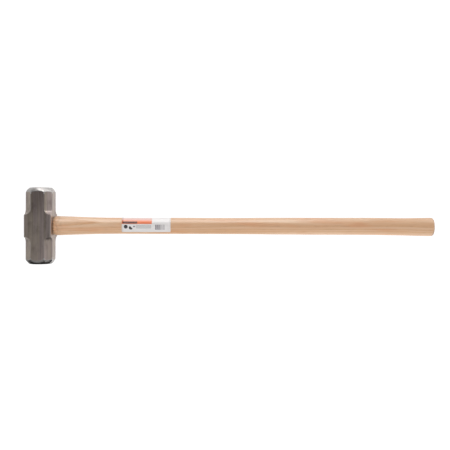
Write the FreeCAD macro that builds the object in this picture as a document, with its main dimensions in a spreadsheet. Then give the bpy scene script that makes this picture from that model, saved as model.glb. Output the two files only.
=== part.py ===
import FreeCAD, Part
import os
import Sketcher
from FreeCAD import Placement, Rotation, Vector

# Sledgehammer: an 8 lb double-face forged head on a nominal 36 in wooden handle, held by one
# wooden wedge and two steel wedges, with a paper label on the handle.
#
# The hammer lies on one cheek of its head. +X runs along the handle towards the grip, Y is the
# striking axis and +Z is up. The origin is the middle of the resting cheek, straight below the
# eye, so the handle's axis is half a head's width above it.

# Driving dimensions in millimetres, angles in degrees. "Major" is an oval's size along the
# striking axis. Places named "at" are distances along the handle from the head's middle.
SIZES = (
    ("tool_length", 900.0, "over the whole tool"),
    ("head_width", 59.5, "head across its flats, both ways"),
    ("head_length", 169.6, "head from striking face to striking face"),
    ("corner_cut", 15.4, "leg of the corner that each diagonal flat takes off"),
    ("block_length", 47.5, "square block around the eye, along the striking axis"),
    ("cove_radius", 12.3, "hollow that joins a diagonal flat to the square block"),
    ("block_edge_radius", 2.5, "rounding of the square block's long edges"),
    ("face_radius", 24.5, "striking face inside its bevel"),
    ("face_crown", 1.0, "rise of the striking face at its middle"),
    ("eye_mouth_major", 35.0, "eye at both of its mouths, along the striking axis"),
    ("eye_mouth_minor", 26.0, "eye at both of its mouths, the other way"),
    ("eye_waist_major", 33.0, "eye at its waist, along the striking axis"),
    ("eye_waist_minor", 24.0, "eye at its waist, the other way"),
    ("tenon_recess", 0.8, "tenon and wedges trimmed below the eye-end face"),
    ("oval_ratio", 0.82, "handle's oval, minor size over major size"),
    ("shoulder_major", 40.0, "handle where it butts against the head"),
    ("collar_at", 37.0, "thickest place behind the shoulder"),
    ("collar_major", 42.8, "handle at the collar"),
    ("neck_at", 70.0, "neck, first place"),
    ("neck_major", 40.8, "handle at the neck"),
    ("throat_at", 108.0, "throat, where the neck thins"),
    ("throat_major", 38.2, "handle at the throat"),
    ("shaft_start", 159.0, "start of the straight shaft"),
    ("shaft_end", 425.0, "end of the straight shaft"),
    ("shaft_major", 36.2, "handle along the straight shaft"),
    ("grip_at", 531.0, "start of the grip's swell"),
    ("grip_major", 37.4, "handle at the start of the swell"),
    ("palm_at", 708.0, "middle of the grip"),
    ("palm_major", 38.0, "handle at the middle of the grip"),
    ("heel_at", 797.0, "end of the grip, before the flare"),
    ("heel_major", 38.6, "handle before the flare"),
    ("flare_at", 833.0, "flare towards the butt"),
    ("flare_major", 40.2, "handle at the flare"),
    ("butt_major", 40.9, "handle at the butt"),
    ("butt_drop", 0.9, "how far the flare leans towards the lower striking face"),
    ("butt_radius", 9.0, "rounding of the butt's rim"),
    ("kerf_depth", 42.0, "saw kerf in the tenon, filled by the wooden wedge"),
    ("kerf_mouth", 6.0, "thick end of the wooden wedge"),
    ("kerf_tip", 1.2, "thin end of the wooden wedge"),
    ("steel_depth", 25.0, "length of a steel wedge"),
    ("steel_mouth", 3.2, "thick end of a steel wedge"),
    ("steel_tip", 0.8, "thin end of a steel wedge"),
    ("steel_width", 18.0, "steel wedge across the eye"),
    ("steel_spacing", 18.0, "between the two steel wedges"),
    ("label_at", 181.0, "edge of the label nearest the head"),
    ("label_length", 107.0, "label along the handle"),
    ("label_thickness", 0.2, "paper of the label with its glue"),
    ("label_turn", 52.5, "how far the label's middle is turned from the striking axis"),
)
FULL_TURN = 360.0
CORNERS = 4
SPARE = 5.0  # how far a cutting outline reaches past the solid that it cuts
NEAR = 0.1  # how near an edge lies to the place by which it is picked
LEAST_CUT = 1.0  # the least volume, in cubic millimetres, that a cut has to remove
ALONG = Vector(1, 0, 0)  # along the handle
STRIKE = Vector(0, 1, 0)  # along the striking axis

document = FreeCAD.newDocument("Sledgehammer")
sheet = document.addObject("Spreadsheet::Sheet", "Sizes")
sub_parts = []
cuts = []


def fill_sheet():
    """Write every driving dimension into the spreadsheet, with its alias and meaning."""
    for row, (alias, value, meaning) in enumerate(SIZES, start=1):
        sheet.set(f"A{row}", alias)
        sheet.set(f"B{row}", str(value))
        sheet.set(f"C{row}", meaning)
        sheet.setAlias(f"B{row}", alias)
    document.recompute()


def size(expression):
    """Return what an expression on the spreadsheet comes to."""
    value = sheet.evalExpression(expression)
    return float(getattr(value, "Value", value))


def new_body(name):
    """Start a sub-part whose own origin is the middle of the head."""
    body = document.addObject("PartDesign::Body", name)
    body.Label = name
    body.setExpression("Placement.Base.z", "Sizes.head_width / 2")
    sub_parts.append(body)
    return body


def origin_feature(body, role):
    """Find one of the body's own origin planes or axes."""
    for feature in body.Origin.OriginFeatures:
        if feature.Role == role:
            return feature
    raise ValueError(f"{body.Name} has no {role}")


def new_sketch(body, name, plane, offset=None, turn_about=None, turn=None):
    """Attach a sketch to an origin plane, moved off it or turned about an axis if asked."""
    sketch = body.newObject("Sketcher::SketchObject", name)
    sketch.AttachmentSupport = [(origin_feature(body, plane), "")]
    sketch.MapMode = "FlatFace"
    if offset is not None:
        sketch.setExpression("AttachmentOffset.Base.z", offset)
    if turn is not None:
        sketch.AttachmentOffset = Placement(Vector(), Rotation(turn_about, size(turn)))
        sketch.setExpression("AttachmentOffset.Rotation.Angle", turn)
    return sketch


def bind(sketch, constraint, name, expression):
    """Add a constraint under a name and bind it to the spreadsheet."""
    index = sketch.addConstraint(constraint)
    sketch.renameConstraint(index, name)
    sketch.setExpression(f"Constraints.{name}", expression)


def pin_point(sketch, geometry, end, name, x, y):
    """Hold one end of an edge at two bound distances from the sketch's origin."""
    bind(sketch, Sketcher.Constraint("DistanceX", -1, 1, geometry, end, size(x)), f"{name}_x", x)
    bind(sketch, Sketcher.Constraint("DistanceY", -1, 1, geometry, end, size(y)), f"{name}_y", y)


def arc_through(start, end, radius, side):
    """Return the arc of a radius between two points, its centre on one side of their chord."""
    chord = end - start
    across = Vector(-chord.y, chord.x, 0).normalize() * side
    reach = (radius ** 2 - (chord.Length / 2) ** 2) ** 0.5
    centre = (start + end) * 0.5 + across * reach
    return Part.Arc(start, centre - across * radius, end)


def end_at(sketch, edge, point):
    """Say which end of an edge lies at a point: the sketcher keeps its arcs anticlockwise."""
    return min((1, 2), key=lambda end: sketch.getPoint(edge, end).distanceToPoint(point))


def outline(sketch, name, corners, arc_radius=None, arc_side=1):
    """Draw a closed outline through bound corners. Its first edge is an arc if a radius is given."""
    points = [Vector(size(x), size(y), 0) for x, y in corners]
    following = points[1:] + points[:1]
    edges = []
    for index, (start, end) in enumerate(zip(points, following)):
        line = Part.LineSegment(start, end)
        if index == 0 and arc_radius is not None:
            line = arc_through(start, end, size(arc_radius), arc_side)
        edges.append(sketch.addGeometry(line, False))
    for index, (edge, (x, y)) in enumerate(zip(edges, corners)):
        before = edges[index - 1]
        begin = end_at(sketch, edge, points[index])
        finish = end_at(sketch, before, points[index])
        sketch.addConstraint(Sketcher.Constraint("Coincident", before, finish, edge, begin))
        pin_point(sketch, edge, begin, f"{name}_{index}", x, y)
    if arc_radius is not None:
        radius = Sketcher.Constraint("Radius", edges[0], size(arc_radius))
        bind(sketch, radius, f"{name}_radius", arc_radius)


def oval(body, name, at, major, minor, drop="0"):
    """Draw an upright oval across the handle, its long axis along the striking axis."""
    sketch = new_sketch(body, name, "YZ_Plane", offset=at)
    centre = Vector(-size(drop), 0, 0)
    long_end = centre + Vector(size(major) / 2, 0, 0)
    short_end = centre + Vector(0, size(minor) / 2, 0)
    ring = sketch.addGeometry(Part.Ellipse(long_end, short_end, centre), False)
    sketch.exposeInternalGeometry(ring)
    long_axis = ring + 1
    short_axis = ring + 2
    sketch.addConstraint(Sketcher.Constraint("Horizontal", long_axis))
    length = Sketcher.Constraint("Distance", long_axis, 1, long_axis, 2, size(major))
    bind(sketch, length, "major", major)
    length = Sketcher.Constraint("Distance", short_axis, 1, short_axis, 2, size(minor))
    bind(sketch, length, "minor", minor)
    if drop == "0":
        sketch.addConstraint(Sketcher.Constraint("Coincident", ring, 3, -1, 1))
    else:
        sketch.addConstraint(Sketcher.Constraint("PointOnObject", ring, 3, -1))
        place = Sketcher.Constraint("DistanceX", -1, 1, ring, 3, -size(drop))
        bind(sketch, place, "drop", f"-({drop})")
    return sketch


def handle_oval(body, name, at, major, drop="0"):
    """Draw the handle's oval at one place along it."""
    return oval(body, name, at, major, f"{major} * Sizes.oval_ratio", drop)


def loft(body, kind, name, sections, ruled=False):
    """Loft through closed sections, adding to the body or cutting it."""
    feature = body.newObject(f"PartDesign::{kind}", name)
    feature.Profile = sections[0]
    feature.Sections = sections[1:]
    feature.Ruled = ruled
    body.Tip = feature
    document.recompute()
    return feature


def cut_both_ways(body, name, sketch, width):
    """Pocket a sketch evenly to both sides of its plane, and note it as a cut to be tested."""
    before = body.Tip.Shape.Volume
    pocket = body.newObject("PartDesign::Pocket", name)
    pocket.Profile = sketch
    pocket.Midplane = True
    pocket.setExpression("Length", width)
    body.Tip = pocket
    document.recompute()
    cuts.append((pocket, before))
    return pocket


def eye_sections(body, prefix):
    """Draw the eye's hourglass: two equal mouths with a tighter waist between them."""
    mouth = ("Sizes.eye_mouth_major", "Sizes.eye_mouth_minor")
    waist = ("Sizes.eye_waist_major", "Sizes.eye_waist_minor")
    return [
        oval(body, f"{prefix}_outer_mouth", "-Sizes.head_width / 2", *mouth),
        oval(body, f"{prefix}_waist", "0", *waist),
        oval(body, f"{prefix}_inner_mouth", "Sizes.head_width / 2", *mouth),
    ]


def wedge_outline(sketch, name, middle, depth, mouth, tip):
    """Draw a tapered wedge that runs in from the trimmed end of the tenon."""
    outer = "(Sizes.tenon_recess - Sizes.head_width / 2)"
    inner = f"({outer} + {depth})"
    outline(sketch, name, (
        (outer, f"{middle} - {mouth} / 2"),
        (inner, f"{middle} - {tip} / 2"),
        (inner, f"{middle} + {tip} / 2"),
        (outer, f"{middle} + {mouth} / 2"),
    ))


def steel_outline(sketch, name, side):
    """Draw one steel wedge as it is seen along the eye's short axis."""
    middle = f"({side} * Sizes.steel_spacing / 2)"
    taper = ("Sizes.steel_depth", "Sizes.steel_mouth", "Sizes.steel_tip")
    wedge_outline(sketch, name, middle, *taper)


def kerf_outline(sketch, name):
    """Draw the wooden wedge as it is seen along the striking axis."""
    wedge_outline(sketch, name, "0", "Sizes.kerf_depth", "Sizes.kerf_mouth", "Sizes.kerf_tip")


def cut_steel_slots(body):
    """Cut the two slots that the steel wedges are driven into."""
    sketch = new_sketch(body, "steel_slots_outline", "XY_Plane")
    steel_outline(sketch, "front", 1)
    steel_outline(sketch, "back", -1)
    cut_both_ways(body, "steel_slots", sketch, "Sizes.steel_width")


def round_edges(body, name, edges, radius):
    """Fillet the named edges of the body's last shape."""
    base = body.Tip
    fillet = body.newObject("PartDesign::Fillet", name)
    fillet.Base = (base, edges)
    fillet.setExpression("Radius", radius)
    body.Tip = fillet
    document.recompute()


def edge_names(shape, test):
    """Name the edges of a shape that pass a test."""
    return [f"Edge{index}" for index, edge in enumerate(shape.Edges, start=1) if test(edge)]


def make_head():
    """Forged head: square bar, diagonal flats that run out in coves, bevelled faces, oval eye."""
    body = new_body("head")
    half_width = "Sizes.head_width / 2"
    square = new_sketch(body, "bar_outline", "XZ_Plane")
    outline(square, "bar", (
        (f"-({half_width})", f"-({half_width})"),
        (half_width, f"-({half_width})"),
        (half_width, half_width),
        (f"-({half_width})", half_width),
    ))
    bar = body.newObject("PartDesign::Pad", "bar")
    bar.Profile = square
    bar.Midplane = True
    bar.setExpression("Length", "Sizes.head_length")
    body.Tip = bar
    document.recompute()
    corner = size(half_width)

    def long_corner_edge(edge):
        middle = edge.CenterOfMass
        return abs(abs(middle.x) - corner) < NEAR and abs(abs(middle.z) - corner) < NEAR

    round_edges(body, "bar_edges", edge_names(bar.Shape, long_corner_edge), "Sizes.block_edge_radius")
    cut_diagonal_flats(body)
    cut_face_bevels(body)
    cut_eye(body)


def cut_diagonal_flats(body):
    """Cut the diagonal flat and its cove at both ends of one corner, then repeat it around."""
    sketch = new_sketch(body, "diagonal_outline", "XY_Plane", turn_about=STRIKE, turn="45")
    corner = "(Sizes.head_width / sqrt(2))"
    depth = "(Sizes.corner_cut / sqrt(2))"
    flat = f"({corner} - {depth})"
    block = "(Sizes.block_length / 2)"
    # The cove is tangent to the flat and leaves the bar's corner where the block begins.
    run = f"sqrt(2 * Sizes.cove_radius * {depth} - pow({depth}; 2))"
    end = f"(Sizes.head_length / 2 + {SPARE})"
    for name, side, arc_side in (("upper", "", 1), ("lower", "-", -1)):
        outline(sketch, name, (
            (flat, f"{side}({block} + {run})"),
            (corner, f"{side}{block}"),
            (f"{corner} + {SPARE}", f"{side}{block}"),
            (f"{corner} + {SPARE}", f"{side}{end}"),
            (flat, f"{side}{end}"),
        ), arc_radius="Sizes.cove_radius", arc_side=arc_side)
    pocket = cut_both_ways(body, "diagonal_flats", sketch, "Sizes.head_width")
    before = pocket.Shape.Volume
    pattern = body.newObject("PartDesign::PolarPattern", "diagonal_flats_around")
    pattern.Originals = [pocket]
    pattern.Axis = (origin_feature(body, "Y_Axis"), [""])
    pattern.Angle = FULL_TURN
    pattern.Occurrences = CORNERS
    body.Tip = pattern
    document.recompute()
    cuts.append((pattern, before))


def cut_face_bevels(body):
    """Turn the 45 degree bevel and the crown of both striking faces about the striking axis."""
    sketch = new_sketch(body, "face_outline", "XY_Plane")
    top = "Sizes.head_length / 2"
    rim = f"({top} - Sizes.face_crown)"
    reach = f"(Sizes.head_width / 2 + {SPARE})"
    outside = f"({top} + {SPARE})"
    crown = "((pow(Sizes.face_radius; 2) + pow(Sizes.face_crown; 2)) / (2 * Sizes.face_crown))"
    for name, side, arc_side in (("upper", "", -1), ("lower", "-", 1)):
        outline(sketch, name, (
            ("0", f"{side}({top})"),
            ("Sizes.face_radius", f"{side}{rim}"),
            (reach, f"{side}({rim} - ({reach} - Sizes.face_radius))"),
            (reach, f"{side}{outside}"),
            ("0", f"{side}{outside}"),
        ), arc_radius=crown, arc_side=arc_side)
    before = body.Tip.Shape.Volume
    groove = body.newObject("PartDesign::Groove", "face_bevels")
    groove.Profile = sketch
    groove.ReferenceAxis = (origin_feature(body, "Y_Axis"), [""])
    groove.Angle = FULL_TURN
    body.Tip = groove
    document.recompute()
    cuts.append((groove, before))


def cut_eye(body):
    """Cut the oval eye through the head, along the handle."""
    before = body.Tip.Shape.Volume
    eye = loft(body, "SubtractiveLoft", "eye", eye_sections(body, "eye"))
    cuts.append((eye, before))


def make_handle():
    """One-piece handle: tenon, shoulder, neck, straight shaft and grip, then its kerf and slots."""
    body = new_body("handle")
    butt = "Sizes.tool_length - Sizes.head_width / 2"
    loft(body, "AdditiveLoft", "tenon", eye_sections(body, "tenon"))
    shoulder = handle_oval(body, "shoulder_section", "Sizes.head_width / 2", "Sizes.shoulder_major")
    collar = handle_oval(body, "collar_section", "Sizes.collar_at", "Sizes.collar_major")
    loft(body, "AdditiveLoft", "shoulder", [shoulder, collar], ruled=True)
    neck = [
        handle_oval(body, "neck_start_section", "Sizes.collar_at", "Sizes.collar_major"),
        handle_oval(body, "neck_section", "Sizes.neck_at", "Sizes.neck_major"),
        handle_oval(body, "throat_section", "Sizes.throat_at", "Sizes.throat_major"),
        handle_oval(body, "neck_end_section", "Sizes.shaft_start", "Sizes.shaft_major"),
    ]
    loft(body, "AdditiveLoft", "neck", neck)
    half_drop = "Sizes.butt_drop / 2"
    shaft = [
        handle_oval(body, "shaft_start_section", "Sizes.shaft_start", "Sizes.shaft_major"),
        handle_oval(body, "shaft_end_section", "Sizes.shaft_end", "Sizes.shaft_major"),
        handle_oval(body, "grip_section", "Sizes.grip_at", "Sizes.grip_major"),
        handle_oval(body, "palm_section", "Sizes.palm_at", "Sizes.palm_major"),
        handle_oval(body, "heel_section", "Sizes.heel_at", "Sizes.heel_major", half_drop),
        handle_oval(body, "flare_section", "Sizes.flare_at", "Sizes.flare_major", "Sizes.butt_drop"),
        handle_oval(body, "butt_section", butt, "Sizes.butt_major", "Sizes.butt_drop"),
    ]
    loft(body, "AdditiveLoft", "shaft", shaft, ruled=True)
    butt_place = size(butt)

    def butt_rim(edge):
        return edge.BoundBox.XMin > butt_place - NEAR

    round_edges(body, "butt_rim", edge_names(body.Tip.Shape, butt_rim), "Sizes.butt_radius")
    trim_tenon(body)
    kerf = new_sketch(body, "kerf_outline", "XZ_Plane")
    kerf_outline(kerf, "kerf")
    cut_both_ways(body, "kerf", kerf, "Sizes.head_width")
    cut_steel_slots(body)


def trim_tenon(body):
    """Saw the tenon off just below the eye-end face."""
    sketch = new_sketch(body, "trim_outline", "XY_Plane")
    outer_end = "Sizes.tenon_recess - Sizes.head_width / 2"
    beyond = f"-(Sizes.head_width / 2 + {SPARE})"
    outline(sketch, "trim", (
        (beyond, "-Sizes.head_width / 2"),
        (outer_end, "-Sizes.head_width / 2"),
        (outer_end, "Sizes.head_width / 2"),
        (beyond, "Sizes.head_width / 2"),
    ))
    cut_both_ways(body, "trim", sketch, "Sizes.head_width")


def make_wood_wedge():
    """Wooden wedge: the slice of the eye's shape that fills the kerf, slotted for the steel."""
    body = new_body("wood_wedge")
    loft(body, "AdditiveLoft", "blank", eye_sections(body, "blank"))
    trim_tenon(body)
    waste = new_sketch(body, "waste_outline", "XZ_Plane")
    kerf_outline(waste, "kept")
    reach = f"(Sizes.head_width / 2 + {SPARE})"
    outline(waste, "blank", (
        (f"-{reach}", f"-{reach}"),
        (reach, f"-{reach}"),
        (reach, reach),
        (f"-{reach}", reach),
    ))
    cut_both_ways(body, "waste", waste, "2 * Sizes.head_width")
    cut_steel_slots(body)


def make_steel_wedge(name, side):
    """Steel wedge, driven across the wooden one."""
    body = new_body(name)
    sketch = new_sketch(body, "wedge_outline", "XY_Plane")
    steel_outline(sketch, "wedge", side)
    wedge = body.newObject("PartDesign::Pad", "wedge")
    wedge.Profile = sketch
    wedge.Midplane = True
    wedge.setExpression("Length", "Sizes.steel_width")
    body.Tip = wedge
    document.recompute()


def make_label():
    """Paper label: half a thin oval sleeve around the straight shaft."""
    body = new_body("label")
    thickness = "2 * Sizes.label_thickness"
    end = "Sizes.label_at + Sizes.label_length"
    shaft = ("Sizes.shaft_major", "Sizes.shaft_major * Sizes.oval_ratio")
    paper = (f"{shaft[0]} + {thickness}", f"{shaft[1]} + {thickness}")
    sleeve = [
        oval(body, "sleeve_start", "Sizes.label_at", *paper),
        oval(body, "sleeve_end", end, *paper),
    ]
    loft(body, "AdditiveLoft", "sleeve", sleeve, ruled=True)
    before = body.Tip.Shape.Volume
    core = [
        oval(body, "core_start", "Sizes.label_at", *shaft),
        oval(body, "core_end", end, *shaft),
    ]
    bore = loft(body, "SubtractiveLoft", "core", core, ruled=True)
    cuts.append((bore, before))
    # The sheet of paper goes half round: the other half of the sleeve is cut off along a plane
    # through the handle's axis.
    turn = "Sizes.label_turn"
    halving = new_sketch(body, "halving_outline", "XY_Plane", turn_about=ALONG, turn=turn)
    outline(halving, "half", (
        (f"Sizes.label_at - {SPARE}", "0"),
        (f"{end} + {SPARE}", "0"),
        (f"{end} + {SPARE}", "-Sizes.head_width"),
        (f"Sizes.label_at - {SPARE}", "-Sizes.head_width"),
    ))
    cut_both_ways(body, "halving", halving, "2 * Sizes.head_width")


def check_document():
    """Stop if any object failed, any cut removed nothing, or any sub-part isn't a sound solid."""
    for item in document.Objects:
        if "Invalid" in item.State or "Error" in item.State:
            raise RuntimeError(f"{item.Name} failed: {item.State}")
    for feature, before in cuts:
        if feature.Shape.Volume > before - LEAST_CUT:
            raise RuntimeError(f"{feature.Name} cut nothing")
    for part in sub_parts:
        if part.Shape.isNull() or not part.Shape.isValid():
            raise RuntimeError(f"{part.Label} has no valid shape")
        if len(part.Shape.Solids) != 1:
            raise RuntimeError(f"{part.Label} is {len(part.Shape.Solids)} solids")


def write_parts():
    """Write each sub-part to its own STEP file and print its size."""
    os.makedirs("parts", exist_ok=True)
    for part in sub_parts:
        part.Shape.exportStep(f"parts/{part.Label}.step")
        box = part.Shape.optimalBoundingBox(False)
        print(f"{part.Label}: {part.Shape.Volume / 1000:.2f} cm3,"
              f" x {box.XMin:.2f} to {box.XMax:.2f},"
              f" y {box.YMin:.2f} to {box.YMax:.2f}, z {box.ZMin:.2f} to {box.ZMax:.2f}")


fill_sheet()
make_head()
make_handle()
make_wood_wedge()
make_steel_wedge("steel_wedge_front", 1)
make_steel_wedge("steel_wedge_back", -1)
make_label()
document.recompute()
check_document()
write_parts()
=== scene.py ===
"""Sledgehammer: the looks of a forged head, its wedged wooden handle and the label on it."""

import math

import bmesh
import bpy
from bpy.props import FloatProperty, FloatVectorProperty, PointerProperty
from mathutils import Matrix, Vector, noise


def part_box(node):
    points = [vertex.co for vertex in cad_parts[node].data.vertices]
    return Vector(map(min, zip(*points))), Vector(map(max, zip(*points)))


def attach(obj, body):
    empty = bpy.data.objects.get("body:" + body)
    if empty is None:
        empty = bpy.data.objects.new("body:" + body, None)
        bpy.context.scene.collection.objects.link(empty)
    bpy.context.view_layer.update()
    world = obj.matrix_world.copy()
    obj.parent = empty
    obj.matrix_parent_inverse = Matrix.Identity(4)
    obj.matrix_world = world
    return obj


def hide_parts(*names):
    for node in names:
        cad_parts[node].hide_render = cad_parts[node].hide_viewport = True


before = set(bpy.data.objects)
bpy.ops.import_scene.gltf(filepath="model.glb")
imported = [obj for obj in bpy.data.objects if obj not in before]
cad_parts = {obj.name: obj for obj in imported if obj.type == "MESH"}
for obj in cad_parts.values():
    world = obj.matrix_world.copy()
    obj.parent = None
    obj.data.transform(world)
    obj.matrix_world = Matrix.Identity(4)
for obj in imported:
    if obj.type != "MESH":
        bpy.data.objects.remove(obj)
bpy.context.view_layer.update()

bl_info = {
    "name": "Sledgehammer",
    "version": (1, 0, 0),
    "blender": (4, 5, 0),
    "location": "View3D > Sidebar > Sledgehammer",
    "description": "Builds a sledgehammer's head, handle, wedges and label around its fixed frame",
    "category": "Add Mesh",
}

MM = 0.001
HEAD_LOW, HEAD_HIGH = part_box("head")
HANDLE_LOW, HANDLE_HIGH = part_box("handle")
LABEL_LOW, LABEL_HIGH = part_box("label")
WEDGE_LOW, WEDGE_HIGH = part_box("wood_wedge")
STEEL_NODES = ("steel_wedge_front", "steel_wedge_back")
STEEL_BOXES = [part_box(node) for node in STEEL_NODES]
HALF_WIDTH = (HEAD_HIGH.x - HEAD_LOW.x) / 2
HALF_LENGTH = (HEAD_HIGH.y - HEAD_LOW.y) / 2
AXIS_HEIGHT = (HEAD_HIGH.z + HEAD_LOW.z) / 2
EYE_CENTRE = Vector((0, 0, AXIS_HEIGHT))
TENON_END = HANDLE_LOW.x
BUTT_END = HANDLE_HIGH.x


def millimetres(name, value, description):
    """A length property, given in millimetres."""
    return FloatProperty(
        name=name, description=description, default=value * MM, unit="LENGTH", subtype="DISTANCE", precision=5
    )


def tint(name, value, description):
    """A colour property, in scene linear red, green and blue."""
    return FloatVectorProperty(
        name=name, description=description, default=value, size=3, min=0, max=1, subtype="COLOR"
    )


def share(name, value, description):
    """A plain share between 0 and 1."""
    return FloatProperty(name=name, description=description, default=value, min=0, max=1, subtype="FACTOR")


def metres(name, value, description):
    """A length property, given in metres."""
    return FloatProperty(name=name, description=description, default=value, unit="LENGTH")


def power(name, value, description):
    """The power of a light, in watts."""
    return FloatProperty(name=name, description=description, default=value, unit="POWER")


def turning(name, value, description):
    """An angle property, in radians."""
    return FloatProperty(name=name, description=description, default=value, subtype="ANGLE")


# Modelling helpers


def ease(low, high, value):
    """Go smoothly from 0 at low to 1 at high."""
    part = min(1, max(0, (value - low) / (high - low)))
    return part * part * (3 - 2 * part)


def smooth_line(places, values, at):
    """Follow values at rising places with a curve that never overshoots them."""
    if at <= places[0]:
        return values[0]
    if at >= places[-1]:
        return values[-1]
    slopes = [(values[i + 1] - values[i]) / (places[i + 1] - places[i]) for i in range(len(places) - 1)]
    tangents = [slopes[0]]
    for before, after in zip(slopes, slopes[1:]):
        tangents.append(0 if before * after <= 0 else 2 * before * after / (before + after))
    tangents.append(slopes[-1])
    i = max(index for index in range(len(slopes)) if places[index] <= at)
    span = places[i + 1] - places[i]
    part = (at - places[i]) / span
    squared = part * part
    cubed = squared * part
    return (
        (2 * cubed - 3 * squared + 1) * values[i]
        + (cubed - 2 * squared + part) * span * tangents[i]
        + (3 * squared - 2 * cubed) * values[i + 1]
        + (cubed - squared) * span * tangents[i + 1]
    )


def ring_of(bm, places):
    """Start with one ring of vertices at their places, in order."""
    ring = bmesh.ops.create_circle(bm, cap_ends=False, radius=1, segments=len(places))["verts"]
    ring = sorted(ring, key=lambda vert: vert.index)
    for vert, place in zip(ring, places):
        vert.co = place
    return ring


def ring_edges(ring):
    """The edges between neighbours of a ring."""
    return [edge_between(a, b) for a, b in zip(ring, ring[1:] + ring[:1])]


def edge_between(a, b):
    """The edge that joins two vertices."""
    return next(edge for edge in a.link_edges if edge.other_vert(a) is b)


def next_ring(bm, ring, places):
    """Extrude a ring, put the new one at its places and return it in the same order."""
    made = bmesh.ops.extrude_edge_only(bm, edges=ring_edges(ring))["geom"]
    fresh = [item for item in made if isinstance(item, bmesh.types.BMVert)]
    partner = {}
    for vert in fresh:
        for edge in vert.link_edges:
            other = edge.other_vert(vert)
            if other not in fresh:
                partner[other] = vert
    following = [partner[vert] for vert in ring]
    for vert, place in zip(following, places):
        vert.co = place
    return following


def loft(bm, ring, rings):
    """Extrude a ring through further rings of places, and return the last one."""
    for places in rings:
        ring = next_ring(bm, ring, places)
    return ring


def finish_mesh(name, bm, materials):
    """Turn a bmesh into an object of its own, closed and facing outwards."""
    bmesh.ops.remove_doubles(bm, verts=bm.verts, dist=1e-6)
    bmesh.ops.recalc_face_normals(bm, faces=bm.faces)
    mesh = bpy.data.meshes.new(name)
    bm.to_mesh(mesh)
    bm.free()
    piece = bpy.data.objects.new(name, mesh)
    bpy.context.scene.collection.objects.link(piece)
    for material in materials:
        mesh.materials.append(material)
    mesh.polygons.foreach_set("use_smooth", [True] * len(mesh.polygons))
    return piece


def apply_modifiers(piece):
    """Make a piece's modifiers part of its mesh."""
    graph = bpy.context.evaluated_depsgraph_get()
    mesh = bpy.data.meshes.new_from_object(piece.evaluated_get(graph))
    mesh.name = piece.name
    piece.modifiers.clear()
    piece.data = mesh


def subdivide(piece, levels, kind="CATMULL_CLARK"):
    """Round a coarse cage into its smooth surface, or only divide its faces."""
    modifier = piece.modifiers.new("Smooth surface", "SUBSURF")
    modifier.subdivision_type = kind
    modifier.levels = levels
    modifier.render_levels = levels
    apply_modifiers(piece)


def cut_away(piece, cutter):
    """Cut one piece's shape out of another."""
    modifier = piece.modifiers.new("Cut", "BOOLEAN")
    modifier.operation = "DIFFERENCE"
    modifier.solver = "EXACT"
    modifier.object = cutter
    apply_modifiers(piece)
    bpy.data.objects.remove(cutter)


def mark_creases(piece, degrees):
    """Shade a piece smooth, apart from edges sharper than an angle."""
    bm = bmesh.new()
    bm.from_mesh(piece.data)
    for face in bm.faces:
        face.smooth = True
    for edge in bm.edges:
        edge.smooth = edge.calc_face_angle(0) < math.radians(degrees)
    bm.to_mesh(piece.data)
    bm.free()


def settle(piece, node):
    """Let a piece ride on the frame and stand for its node."""
    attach(piece, "root")
    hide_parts(node)


# Material helpers


def new_material(name):
    """A material with an empty node tree and one shader in it."""
    material = bpy.data.materials.new(name)
    material.use_nodes = True
    tree = material.node_tree
    tree.nodes.clear()
    shader = tree.nodes.new("ShaderNodeBsdfPrincipled")
    output = tree.nodes.new("ShaderNodeOutputMaterial")
    tree.links.new(shader.outputs["BSDF"], output.inputs["Surface"])
    return material, tree, shader


def add(tree, kind, inputs=None, **settings):
    """Add a node, set it up, and link or fill its inputs. Return its first output."""
    made = tree.nodes.new(f"ShaderNode{kind}")
    for key, value in settings.items():
        setattr(made, key, value)
    for key, value in (inputs or {}).items():
        if isinstance(value, bpy.types.NodeSocket):
            tree.links.new(value, made.inputs[key])
        else:
            made.inputs[key].default_value = value
    return next(output for output in made.outputs if output.enabled)


def maths(tree, operation, first, second=0.0, third=0.0, clamp=False):
    """One step of arithmetic on numbers."""
    return add(tree, "Math", {0: first, 1: second, 2: third}, operation=operation, use_clamp=clamp)


def times(tree, first, second):
    """Multiply two numbers."""
    return maths(tree, "MULTIPLY", first, second)


def rest_of(tree, value):
    """One minus a number."""
    return maths(tree, "SUBTRACT", 1, value)


def split(tree, vector):
    """The X, Y and Z of a vector."""
    parts = tree.nodes.new("ShaderNodeSeparateXYZ")
    tree.links.new(vector, parts.inputs[0])
    return parts.outputs


def distance_from(tree, place, point=(0, 0, 0)):
    """How far a place is from a point."""
    apart = tree.nodes.new("ShaderNodeVectorMath")
    apart.operation = "DISTANCE"
    tree.links.new(place, apart.inputs[0])
    apart.inputs[1].default_value = point
    return apart.outputs["Value"]


def smooth_step(tree, value, low, high):
    """Go smoothly from 0 at low to 1 at high."""
    inputs = {"Value": value, "From Min": low, "From Max": high}
    return add(tree, "MapRange", inputs, interpolation_type="SMOOTHSTEP")


def object_place(tree, scale=(1, 1, 1), move=(0, 0, 0), turn=(0, 0, 0)):
    """The place on the object, moved, turned and stretched."""
    place = tree.nodes.new("ShaderNodeTexCoord").outputs["Object"]
    return add(tree, "Mapping", {"Vector": place, "Location": move, "Rotation": turn, "Scale": scale})


def cloud(tree, place, scale, detail=3.0, roughness=0.5):
    """Soft noise, as a number around one half."""
    return add(tree, "TexNoise", {"Vector": place, "Scale": scale, "Detail": detail, "Roughness": roughness})


def stretched(tree, scale, detail=3.0, roughness=0.5):
    """Soft noise on the object, stretched along its axes."""
    return cloud(tree, object_place(tree, scale=scale), 1, detail, roughness)


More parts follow.
